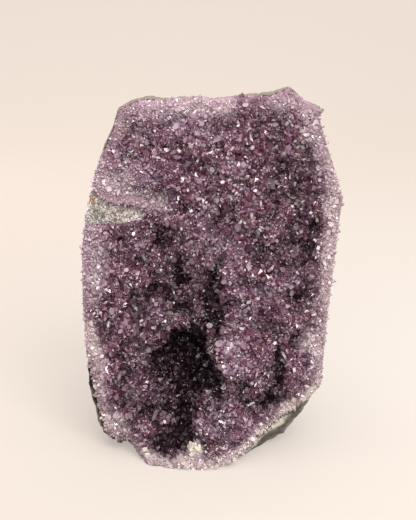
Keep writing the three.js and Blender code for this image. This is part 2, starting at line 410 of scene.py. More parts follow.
def carried_numbers(tree: bpy.types.NodeTree, names: Sequence[str]) -> dict[str, bpy.types.NodeSocket]:
    """Reads numbers that a piece carries, by name."""
    return {
        name: add_node(tree, "ShaderNodeAttribute", attribute_name=name).outputs["Fac"] for name in names
    }


@dataclass(frozen=True)
class Finish:
    """What a surface is made of."""

    name: str

    def make(self) -> bpy.types.Material:
        """Builds the material."""
        material = bpy.data.materials.new(self.name)
        material.use_nodes = True
        tree = material.node_tree
        tree.nodes.clear()
        shader = add_node(tree, "ShaderNodeBsdfPrincipled", self.surface(tree))
        add_node(tree, "ShaderNodeOutputMaterial", {"Surface": shader.outputs[0]})
        return material

    def surface(self, tree: bpy.types.NodeTree) -> dict[str, object]:
        """Draws the finish's pattern.

        Args:
            tree: The material's tree.

        Returns:
            What feeds the surface's inputs.
        """
        raise NotImplementedError


@dataclass(frozen=True)
class Amethyst(Finish):
    """Amethyst as it grew: clear, glassy quartz coloured violet by iron.

    Each face is painted lighter or darker, standing in for light that passes into the crystal and
    comes back coloured: one face is dark, the next lavender and a few painted nearly white as
    glints, while faces that mirror a lamp also sparkle. Painted shade darkens the crystals in
    hollows and creases and at their roots.
    """

    shade_tone: str = "1c0812"
    dark: str = "5e2d42"
    middle: str = "8e5d76"
    light: str = "c9afc4"
    painted_glint: str = "fff6ea"
    rim: str = "e6d4d8"
    cream: str = "e4dacb"
    root: float = 0.5  # share of the painted shade at a crystal's root
    clearness: float = 0.5
    gloss: float = 0.12
    shine: float = 0.5  # how much its faces mirror

    def surface(self, tree: bpy.types.NodeTree) -> dict[str, object]:
        """Draws the finish's pattern.

        Args:
            tree: The material's tree.

        Returns:
            What feeds the surface's inputs.
        """
        carried = carried_numbers(tree, ("gleam", "tint", "bright", "pale", "hollow", "rise"))
        # Each crystal's own tint turns the order of its faces' painted light and shade, so that no two look
        # alike.
        feeds = {0: carried["tint"], 1: 5.0, 2: carried["gleam"]}
        mixed = add_node(tree, "ShaderNodeMath", feeds, operation="MULTIPLY_ADD").outputs[0]
        face = add_node(tree, "ShaderNodeMath", {0: mixed}, operation="FRACT").outputs[0]
        lit = add_node(tree, "ShaderNodeMath", {0: face, 1: carried["bright"]}).outputs[0]
        colour = layered_colour(
            tree,
            self.dark,
            (
                # Painted light and shade: each face lighter or darker by its own number and by the streaks.
                Layer(lit, 0.15, 0.6, self.middle),
                Layer(lit, 0.6, 0.92, self.light),
                # Painted glints on a few faces.
                Layer(face, 0.93, 0.98, self.painted_glint),
                Layer(carried["pale"], 0.0, 1.0, self.rim),
                Layer(carried["pale"], 1.0, 1.3, self.cream),
                # Painted shade in the hollows and creases, and at each crystal's root.
                Layer(carried["hollow"], 0.0, 1.0, self.shade_tone),
                Layer(carried["rise"], 0.6, 0.25, self.shade_tone, self.root),
            ),
        )
        # Where the painted shade is strongest, the faces are rougher and only shimmer.
        dull = add_node(
            tree, "ShaderNodeMapRange", {0: carried["hollow"], 1: 0.3, 2: 0.9, 3: self.gloss, 4: 0.28}
        ).outputs[0]
        return {
            "Base Color": colour,
            "Roughness": dull,
            "IOR": QUARTZ_IOR,
            "Transmission Weight": self.clearness,
            "Specular IOR Level": self.shine,
        }


@dataclass(frozen=True)
class AmethystMass(Finish):
    """The columns of amethyst that the crystals are the ends of, grown together.

    Between the crystals it only shows as dusk; where the geode is broken through, it runs in
    streaks from violet in front to milky at the roots.
    """

    shade_tone: str = "240a17"
    dark: str = "5a3647"
    middle: str = "705064"
    rim: str = "a58d98"
    streak: str = "a58698"
    root: str = "d5c8c6"
    column: float = 1.5 * MM

    def surface(self, tree: bpy.types.NodeTree) -> dict[str, object]:
        """Draws the finish's pattern.

        Args:
            tree: The material's tree.

        Returns:
            What feeds the surface's inputs.
        """
        carried = carried_numbers(tree, ("pale", "hollow", "wall", "behind"))
        place = add_node(tree, "ShaderNodeTexCoord").outputs["Object"]
        along = add_node(
            tree, "ShaderNodeVectorMath", {0: place, 1: (1.0, 0.22, 1.0)}, operation="MULTIPLY"
        ).outputs[0]
        columns = add_node(tree, "ShaderNodeTexVoronoi", {"Vector": along, "Scale": 1 / self.column})
        clouds = add_node(
            tree, "ShaderNodeTexNoise", {"Vector": place, "Scale": 1 / (4 * self.column), "Detail": 5.0}
        ).outputs[0]
        streaks = add_node(
            tree, "ShaderNodeMath", {0: columns.outputs["Color"], 1: carried["wall"]}, operation="MULTIPLY"
        ).outputs[0]
        milk = add_node(tree, "ShaderNodeMath", {0: clouds, 1: carried["behind"]}).outputs[0]
        colour = layered_colour(
            tree,
            self.dark,
            (
                Layer(columns.outputs["Color"], 0.2, 0.8, self.middle),
                Layer(carried["pale"], 0.0, 1.0, self.rim),
                # Painted shade in the hollows and creases.
                Layer(carried["hollow"], 0.0, 1.0, self.shade_tone),
                Layer(streaks, 0.2, 0.9, self.streak),
                Layer(milk, 0.75, 1.35, self.root),
            ),
        )
        bump = add_node(
            tree,
            "ShaderNodeBump",
            {"Height": columns.outputs["Distance"], "Strength": 0.9, "Distance": 0.8 * self.column},
        )
        return {"Base Color": colour, "Roughness": 0.3, "IOR": QUARTZ_IOR, "Normal": bump.outputs[0]}


@dataclass(frozen=True)
class MilkyQuartz(Finish):
    """Massive quartz, broken across: a sugary mass of pale and grey grains, some stained by rust.

    It scatters light evenly, and only a grain's face sparkles here and there.
    """

    pale: str = "dad0cd"
    grey: str = "9a8f8c"
    dark: str = "4c4640"
    aged: str = "6f6356"
    green: str = "5d6352"
    rust: str = "8c6248"
    grain: float = 1.1 * MM

    def surface(self, tree: bpy.types.NodeTree) -> dict[str, object]:
        """Draws the finish's pattern.

        Args:
            tree: The material's tree.

        Returns:
            What feeds the surface's inputs.
        """
        carried = carried_numbers(tree, ("aged", "green", "rust"))
        place = add_node(tree, "ShaderNodeTexCoord").outputs["Object"]
        grains = add_node(tree, "ShaderNodeTexVoronoi", {"Vector": place, "Scale": 1 / self.grain})
        specks = add_node(
            tree, "ShaderNodeTexNoise", {"Vector": place, "Scale": 1 / (1.7 * self.grain), "Detail": 3.0}
        ).outputs[0]
        colour = layered_colour(
            tree,
            self.grey,
            (
                Layer(grains.outputs["Color"], 0.2, 0.8, self.pale),
                Layer(specks, 0.56, 0.68, self.dark),
                Layer(carried["aged"], 0.0, 1.0, self.aged, 0.85),
                Layer(carried["green"], 0.0, 1.0, self.green),
                Layer(carried["rust"], 0.0, 1.0, self.rust),
            ),
        )
        bump = add_node(
            tree,
            "ShaderNodeBump",
            {"Height": grains.outputs["Distance"], "Strength": 0.8, "Distance": self.grain},
        )
        return {"Base Color": colour, "Roughness": 0.4, "IOR": QUARTZ_IOR, "Normal": bump.outputs[0]}


@dataclass(frozen=True)
class QuartzGrains(Finish):
    """Single grains of the milky quartz, clear to white, loosely locked together."""

    dark: str = "6a5f5f"
    pale: str = "efe7e6"

    def surface(self, tree: bpy.types.NodeTree) -> dict[str, object]:
        """Draws the finish's pattern.

        Args:
            tree: The material's tree.

        Returns:
            What feeds the surface's inputs.
        """
        carried = carried_numbers(tree, ("tint", "gleam"))
        both = add_node(
            tree, "ShaderNodeMath", {0: carried["tint"], 1: carried["gleam"]}, operation="MULTIPLY"
        ).outputs[0]
        colour = layered_colour(tree, self.dark, (Layer(both, 0.0, 1.0, self.pale),))
        return {"Base Color": colour, "Roughness": 0.2, "IOR": QUARTZ_IOR, "Transmission Weight": 0.25}


@dataclass(frozen=True)
class WeatheredBasalt(Finish):
    """Basalt as dug from its flow: dull and pitted by old gas bubbles, green with celadonite.

    Weather has left pale dust on its heights. Painted shade makes it nearly black on its left side and
    under its lower right corner, and darkens its pits.
    """

    dark: str = "3d3a32"
    green: str = "7a7268"
    dust: str = "aba39a"
    pale: str = "d2ccc2"
    pit_shade: str = "262723"
    rust: str = "8c5f38"
    fresh: str = "0a0b09"
    bubble: float = 3.2 * MM

    def surface(self, tree: bpy.types.NodeTree) -> dict[str, object]:
        """Draws the finish's pattern.

        Args:
            tree: The material's tree.

        Returns:
            What feeds the surface's inputs.
        """
        carried = carried_numbers(tree, ("dusty", "rust", "fresh"))
        place = add_node(tree, "ShaderNodeTexCoord").outputs["Object"]
        broad = add_node(
            tree, "ShaderNodeTexNoise", {"Vector": place, "Scale": 1 / (22 * MM), "Detail": 9.0}
        ).outputs[0]
        fine = add_node(
            tree,
            "ShaderNodeTexNoise",
            {"Vector": place, "Scale": 1 / (3.5 * MM), "Detail": 8.0, "Roughness": 0.7},
        ).outputs[0]
        bubbles = add_node(
            tree, "ShaderNodeTexVoronoi", {"Vector": place, "Scale": 1 / self.bubble}
        ).outputs["Distance"]
        colour = layered_colour(
            tree,
            self.dark,
            (
                Layer(broad, 0.34, 0.62, self.green),
                Layer(fine, 0.46, 0.8, self.dust),
                Layer(carried["dusty"], 0.0, 1.0, self.pale, 0.8),
                # Painted shade in the pits.
                Layer(bubbles, 0.24, 0.1, self.pit_shade, 0.7),
                Layer(carried["fresh"], 0.0, 1.0, self.fresh),
                Layer(carried["rust"], 0.0, 1.0, self.rust),
            ),
        )
        pits = add_node(tree, "ShaderNodeMapRange", {0: bubbles, 1: 0.05, 2: 0.3}).outputs[0]
        pitted = add_node(
            tree, "ShaderNodeBump", {"Height": pits, "Strength": 0.8, "Distance": 0.7 * MM}
        ).outputs[0]
        rough = add_node(
            tree,
            "ShaderNodeBump",
            {"Height": fine, "Strength": 1.0, "Distance": 1.6 * MM, "Normal": pitted},
        )
        return {"Base Color": colour, "Roughness": 0.85, "Normal": rough.outputs[0]}


@dataclass(frozen=True)
class GlowPool:
    """A pool of painted light on the sheet: a part whose glow has a tint of its own, which fades out to its
    reach.
    """

    middle: tuple[float, float, float]
    reach: float
    colour: str


@dataclass(frozen=True)
class GlowingAcrylic(Finish):
    """A matt cream acrylic sheet, bent up behind, that glows by itself though no lamp is under it: painted
    light.

    It has no gloss, and its own glow leaves only faint shadows; two pools of painted light make it lighter
    in places.
    """

    cream: str = "918a84"
    glow: str = "c0b6af"
    strength: float = 0.69
    glow_pools: tuple[GlowPool, ...] = (
        GlowPool((-0.2, 0.62, 0.0), 0.75, "d8c9c0"),
        GlowPool((0.26, 0.15, 0.0), 0.5, "d2d0cd"),
    )

    def surface(self, tree: bpy.types.NodeTree) -> dict[str, object]:
        """Draws the finish's pattern.

        Args:
            tree: The material's tree.

        Returns:
            What feeds the surface's inputs.
        """
        place = add_node(tree, "ShaderNodeTexCoord").outputs["Object"]
        layers = []
        for part in self.glow_pools:
            away = add_node(
                tree, "ShaderNodeVectorMath", {0: place, 1: part.middle}, operation="DISTANCE"
            ).outputs["Value"]
            layers.append(Layer(away, part.reach, 0.0, part.colour))
        return {
            "Base Color": linear(self.cream),
            "Roughness": 0.9,
            "Specular IOR Level": 0.1,
            "Emission Color": layered_colour(tree, self.glow, layers),
            "Emission Strength": self.strength,
        }


# --------------------------------------------------------------------------- crystals


class Point(Enum):
    """How a quartz crystal ends."""

    SIX_FACED = "six faces meet in a point"
    THREE_FACED = "three large faces meet in a point"
    CHISEL = "two opposite faces meet in an edge"
    BROKEN = "it is broken across, aslant"
    SEED = "a point alone, with no sides"


@dataclass(frozen=True)
class CrystalForm:
    """One crystal, one unit wide and upright, with the ground at zero height."""

    point: Point
    sides: float  # height of its upright sides
    skew: Place  # how far its point is off its axis
    seed: int = 0  # of the painted light and shade on its faces

    ROOT = -0.5
    FACE_SLOPE = math.tan(math.radians(51.8))  # of quartz's rhombohedral faces

    def mesh(self, name: str) -> bpy.types.Mesh:
        """Builds the crystal's closed mesh.

        Args:
            name: The mesh's name.

        Returns:
            A mesh whose points carry "rise", 0 at the root and 1 at the tip, and whose faces carry
            "gleam", a number from 0 to 1 that differs from face to face.
        """
        points, faces = self.points_and_faces()
        mesh = bpy.data.meshes.new(name)
        mesh.from_pydata(points, [], faces)
        heights = points_of(mesh)[:, 2]
        set_attribute(mesh, "rise", (heights - heights.min()) / np.ptp(heights))
        gleam = mesh.attributes.new("gleam", "FLOAT", "FACE")
        gleam.data.foreach_set("value", np.random.default_rng(self.seed).random(len(faces)))
        return mesh

    def points_and_faces(self) -> tuple[list[tuple[float, ...]], list[tuple[int, ...]]]:
        """Works out the crystal's corners and its faces."""
        angles = [k * math.pi / 3 for k in range(6)]
        ring = [(0.5 * math.cos(angle), 0.5 * math.sin(angle)) for angle in angles]
        height = 0.5 * math.cos(math.pi / 6) * self.FACE_SLOPE
        drop = 0.25 * self.FACE_SLOPE
        low = [(x, y, self.ROOT) for x, y in ring]
        shoulder = [(x, y, self.sides) for x, y in ring]
        tip = (*self.skew, self.sides + height)
        base = [tuple(reversed(range(6)))]
        sides = [(k, (k + 1) % 6, (k + 1) % 6 + 6, k + 6) for k in range(6)]
        if self.point is Point.SEED:
            return [*low, tip], base + [(k, (k + 1) % 6, 6) for k in range(6)]
        if self.point is Point.BROKEN:
            slope_x, slope_y = self.skew
            top = [(x, y, self.sides + slope_x * x + slope_y * y) for x, y in ring]
            return [*low, *top], [*base, *sides, tuple(range(6, 12))]
        if self.point is Point.THREE_FACED:
            low_corners = [(x, y, self.sides - (drop if k % 2 else 0)) for k, (x, y) in enumerate(ring)]
            tops = [(5 + k, 6 + k, 6 + (k + 1) % 6, 12) for k in (1, 3, 5)]
            return [*low, *low_corners, (0.0, 0.0, self.sides + drop)], base + sides + tops
        if self.point is Point.CHISEL:
            ridge = [(0.25, 0.0, tip[2]), (-0.25, 0.0, tip[2])]
            ends = [(6, 7, 12), (8, 9, 13), (9, 10, 13), (11, 6, 12), (7, 8, 13, 12), (10, 11, 12, 13)]
            return [*low, *shoulder, *ridge], base + sides + ends
        return [*low, *shoulder, tip], base + sides + [(6 + k, 6 + (k + 1) % 6, 12) for k in range(6)]


@dataclass
class CrystalSet:
    """A collection of crystal forms that a tree picks from."""

    name: str
    forms: Sequence[CrystalForm]

    def make(self) -> bpy.types.Collection:
        """Builds the forms, kept out of the scene itself."""
        collection = bpy.data.collections.new(self.name)
        for number, form in enumerate(self.forms):
            name = f"{self.name}_{number:02d}"
            collection.objects.link(bpy.data.objects.new(name, form.mesh(name)))
        return collection


DRUSE = CrystalSet(
    "druse_forms",
    (
        CrystalForm(Point.SIX_FACED, 0.10, (0.12, 0.05), 1),
        CrystalForm(Point.SIX_FACED, 0.25, (-0.18, 0.10), 2),
        CrystalForm(Point.SIX_FACED, 0.45, (0.05, -0.15), 3),
        CrystalForm(Point.SIX_FACED, 0.0, (0.20, -0.10), 4),
        CrystalForm(Point.THREE_FACED, 0.45, (0.0, 0.0), 5),
        CrystalForm(Point.THREE_FACED, 0.30, (0.0, 0.0), 6),
        CrystalForm(Point.THREE_FACED, 0.60, (0.0, 0.0), 7),
        CrystalForm(Point.CHISEL, 0.10, (0.0, 0.0), 8),
        CrystalForm(Point.CHISEL, 0.35, (0.0, 0.0), 9),
        CrystalForm(Point.BROKEN, 0.35, (0.5, 0.3), 10),
        CrystalForm(Point.BROKEN, 0.50, (-0.2, 0.7), 11),
    ),
)
SEEDS = CrystalSet(
    "seed_forms",
    (
        CrystalForm(Point.SEED, 0.0, (0.1, 0.0), 12),
        CrystalForm(Point.SEED, 0.2, (-0.05, 0.12), 13),
        CrystalForm(Point.SEED, 0.1, (0.0, -0.15), 14),
        CrystalForm(Point.BROKEN, 0.30, (0.6, 0.3), 15),
        CrystalForm(Point.BROKEN, 0.40, (-0.3, 0.8), 16),
    ),
)


LEAN, WIDE_LEAN = math.radians(50), math.radians(60)  # the furthest that crystals lean
CLOUDY = Amethyst(
    "amethyst_fine_points", dark="4e2b3a", middle="785168", light="b79cb1", clearness=0.3
)
# Darker, duller crystals for the hollow's darkest core, whose colours are painted shade.
SHADED_POINTS = Amethyst(
    "amethyst_deep_points",
    shade_tone="12030a",
    dark="3c1929",
    middle="563447",
    light="785a72",
    clearness=0.3,
    gloss=0.2,
    shine=0.15,
)
MILKY = Amethyst(
    "milky_points",
    dark="84707a",
    middle="b09ca2",
    light="d8cbcc",
    rim="e2d8cb",
    root=0.4,
    clearness=0.1,
    gloss=0.3,
)


class Growth:
    """The tree that grows crystals on a sheet, close together but not through each other."""

    INPUTS = (
        ("Ground", "NodeSocketGeometry"),
        ("Forms", "NodeSocketCollection"),
        ("Form Count", "NodeSocketInt"),
        ("Spacing", "NodeSocketFloat"),
        ("Density", "NodeSocketFloat"),
        ("Thinnest", "NodeSocketFloat"),
        ("Thickest", "NodeSocketFloat"),
        ("Lean", "NodeSocketFloat"),
        ("Lowest", "NodeSocketFloat"),
        ("Highest", "NodeSocketFloat"),
        ("Where", "NodeSocketString"),
        ("Seed", "NodeSocketInt"),
        ("Finish", "NodeSocketMaterial"),
    )

    def __init__(self) -> None:
        """Builds the tree."""
        tree = bpy.data.node_groups.new("grow_crystals", "GeometryNodeTree")
        self.tree = tree
        for name, kind in self.INPUTS:
            tree.interface.new_socket(name, in_out="INPUT", socket_type=kind)
        tree.interface.new_socket("Crystals", in_out="OUTPUT", socket_type="NodeSocketGeometry")
        given = add_node(tree, "NodeGroupInput").outputs
        carried = {
            key: add_node(
                tree, "GeometryNodeInputNamedAttribute", {"Name": name}, data_type="FLOAT"
            ).outputs[0]
            for key, name in (("share", given["Where"]), ("girth", "girth"), ("free", "free"))
        }
        seeds = [
            add_node(tree, "ShaderNodeMath", {0: given["Seed"], 1: float(k)}).outputs[0] for k in range(7)
        ]
        scattered = add_node(
            tree,
            "GeometryNodeDistributePointsOnFaces",
            {
                "Mesh": given["Ground"],
                "Selection": self.within(given),
                "Distance Min": given["Spacing"],
                "Density Max": given["Density"],
                "Density Factor": carried["share"],
                "Seed": given["Seed"],
            },
            distribute_method="POISSON",
        )
        last = add_node(
            tree, "ShaderNodeMath", {0: given["Form Count"], 1: 1.0}, operation="SUBTRACT"
        ).outputs[0]
        instances = add_node(
            tree,
            "GeometryNodeInstanceOnPoints",
            {
                "Points": scattered.outputs["Points"],
                "Instance": add_node(
                    tree,
                    "GeometryNodeCollectionInfo",
                    {"Collection": given["Forms"], "Separate Children": True, "Reset Children": True},
                ).outputs[0],
                "Pick Instance": True,
                "Instance Index": add_node(
                    tree, "FunctionNodeRandomValue", {5: last, "Seed": seeds[4]}, data_type="INT"
                ).outputs[2],
                "Rotation": self.turned(given, carried, seeds, scattered.outputs["Rotation"]),
                "Scale": self.scaled(given, carried, seeds),
            },
        )
        glow_pools = add_node(
            tree,
            "GeometryNodeStoreNamedAttribute",
            {
                "Geometry": instances.outputs[0],
                "Name": "tint",
                "Value": add_node(tree, "FunctionNodeRandomValue", {"Seed": seeds[5]}).outputs[1],
            },
            data_type="FLOAT",
            domain="INSTANCE",
        )
        real = add_node(tree, "GeometryNodeRealizeInstances", {0: glow_pools.outputs[0]})
        dressed = add_node(
            tree, "GeometryNodeSetMaterial", {"Geometry": real.outputs[0], "Material": given["Finish"]}
        )
        add_node(tree, "NodeGroupOutput", {0: dressed.outputs[0]})

    def within(self, given: bpy.types.NodeOutputs) -> bpy.types.NodeSocket:
        """Picks the ground between two heights."""
        place = add_node(self.tree, "GeometryNodeInputPosition").outputs[0]
        height = add_node(self.tree, "ShaderNodeSeparateXYZ", {0: place}).outputs["Z"]
        above = add_node(
            self.tree, "ShaderNodeMath", {0: height, 1: given["Lowest"]}, operation="GREATER_THAN"
        ).outputs[0]
        below = add_node(
            self.tree, "ShaderNodeMath", {0: height, 1: given["Highest"]}, operation="LESS_THAN"
        ).outputs[0]
        return add_node(self.tree, "ShaderNodeMath", {0: above, 1: below}, operation="MULTIPLY").outputs[0]

    def turned(
        self,
        given: bpy.types.NodeOutputs,
        carried: dict[str, bpy.types.NodeSocket],
        seeds: Sequence[bpy.types.NodeSocket],
        upright: bpy.types.NodeSocket,
    ) -> bpy.types.NodeSocket:
        """Leans each crystal a little to any side and turns it about its own axis.

        Args:
            given: The tree's inputs.
            carried: The ground's numbers.
            seeds: Seeds of the random values.
            upright: The rotation that stands it on the ground.

        Returns:
            Its rotation.
        """
        tree = self.tree
        tilt = add_node(
            tree, "ShaderNodeMath", {0: given["Lean"], 1: carried["free"]}, operation="MULTIPLY"
        ).outputs[0]
        most = add_node(tree, "ShaderNodeCombineXYZ", {0: tilt, 1: tilt}).outputs[0]
        least = add_node(
            tree, "ShaderNodeVectorMath", {0: most, 1: (-1.0, -1.0, -1.0)}, operation="MULTIPLY"
        ).outputs[0]
        lean = add_node(
            tree, "FunctionNodeRandomValue", {0: least, 1: most, "Seed": seeds[2]}, data_type="FLOAT_VECTOR"
        ).outputs[0]
        about = add_node(
            tree, "FunctionNodeRandomValue", {2: -math.pi, 3: math.pi, "Seed": seeds[1]}
        ).outputs[1]
        turn = add_node(tree, "ShaderNodeCombineXYZ", {2: about}).outputs[0]
        rotation = upright
        for angles in (lean, turn):
            step = add_node(tree, "FunctionNodeEulerToRotation", {0: angles}).outputs[0]
            rotation = add_node(
                tree, "FunctionNodeRotateRotation", {0: rotation, 1: step}, rotation_space="LOCAL"
            ).outputs[0]
        return rotation

    def scaled(
        self,
        given: bpy.types.NodeOutputs,
        carried: dict[str, bpy.types.NodeSocket],
        seeds: Sequence[bpy.types.NodeSocket],
    ) -> bpy.types.NodeSocket:
        """Makes few crystals large and many small, some flatter and some longer.

        Args:
            given: The tree's inputs.
            carried: The ground's numbers.
            seeds: Seeds of the random values.

        Returns:
            Their scales.
        """
        tree = self.tree
        even = add_node(tree, "FunctionNodeRandomValue", {"Seed": seeds[3]}).outputs[1]
        share = add_node(tree, "ShaderNodeMath", {0: even, 1: 2.5}, operation="POWER").outputs[0]
        width = add_node(
            tree, "ShaderNodeMapRange", {0: share, 3: given["Thinnest"], 4: given["Thickest"]}
        ).outputs[0]
        size = add_node(
            tree, "ShaderNodeMath", {0: width, 1: carried["girth"]}, operation="MULTIPLY"
        ).outputs[0]
        uneven = add_node(
            tree,
            "FunctionNodeRandomValue",
            {0: (0.65, 0.5, 0.8), 1: (1.15, 1.0, 1.4), "Seed": seeds[6]},
            data_type="FLOAT_VECTOR",
        ).outputs[0]
        return add_node(
            tree, "ShaderNodeVectorMath", {0: uneven, "Scale": size}, operation="SCALE"
        ).outputs[0]

    def grow(self, name: str, ground: bpy.types.Object, **values: object) -> bpy.types.Object:
        """Grows one crop of crystals as a plain mesh.

        Args:
            name: The new piece's name.
            ground: The sheet they grow on, whose points carry "girth" and "free".
            **values: The tree's inputs, with _ for a space.

        Returns:
            The new piece.
        """
        carrier = new_object(name, ground.data.copy())
        modifier = carrier.modifiers.new("growth", "NODES")
        modifier.node_group = self.tree
        by_name = {item.name: item.identifier for item in self.tree.interface.items_tree}
        for key, value in values.items():
            modifier[by_name[key.replace("_", " ")]] = value
        apply_modifiers(carrier)
        return carrier


# --------------------------------------------------------------------------- the geode's layers


@dataclass(frozen=True)
class Streak:
    """A soft-edged stripe on the crystal face, in millimetres, or a round place if it has no end."""

    start: Place
    radius: float
    end: Place | None = None
    depth: float = 0.0
    dark: float = 0.0  # how much darker its crystals are: partly their own tone, partly painted shade
    bright: float = 0.0  # how much lighter painted light makes them
    pale: float = 0.0  # how milky they are

    def share(self, x: Grid, z: Grid) -> Grid:
        """How much of the streak there is at each place, from 0 outside it to 1 at its middle."""
        x, z = x / MM - self.start[0], z / MM - self.start[1]
        if self.end:
            along_x, along_z = self.end[0] - self.start[0], self.end[1] - self.start[1]
            part = np.clip((x * along_x + z * along_z) / (along_x**2 + along_z**2), 0, 1)
            x, z = x - part * along_x, z - part * along_z
        return smooth_step(np.hypot(x, z), self.radius, 0.2 * self.radius)


@dataclass(frozen=True)
class Crop:
    """One crop of crystals: how close they stand, how wide they are and how far they lean."""

    name: str
    forms: CrystalSet
    finish: Finish
    spacing: float  # least distance
    density: float  # how many are tried on a square metre
    thinnest: float
    thickest: float
    lean: float
    seed: int
    where: str = "grow"  # the number of the ground that says how many there are

    def planted(
        self, growth: Growth, ground: bpy.types.Object, bands: dict[str, Sequence[float]]
    ) -> list[bpy.types.Object]:
        """Grows the crop in one or more bands, each a piece.

        Args:
            growth: The tree that grows it.
            ground: The sheet that it grows on.
            bands: For each piece's name, the heights that it lies between.

        Returns:
            The pieces.
        """
        forms, finish = self.forms.make(), self.finish.make()
        return [
            growth.grow(
                name,
                ground,
                Forms=forms,
                Form_Count=len(self.forms.forms),
                Spacing=self.spacing,
                Density=self.density,
                Thinnest=self.thinnest,
                Thickest=self.thickest,
                Lean=self.lean,
                Lowest=lowest,
                Highest=highest,
                Where=self.where,
                Seed=self.seed + number,
                Finish=finish,
            )
            for number, (name, (lowest, highest)) in enumerate(bands.items())
        ]


@dataclass(frozen=True)
class Lie:
    """How each point of the crust's sheet lies before the sheet is shaped."""

    x: Grid
    z: Grid
    behind: Grid  # how far behind the smooth face
    in_front: Grid  # whether it belongs to the face
    drift: Grid  # how far the streaks wander there
    shares: Grid  # how much of each streak there is
    knobs: Grid
    edge: Grid  # how far from the face's edge
    settled: Grid  # 0 at the edge, 1 where the crust has its full form


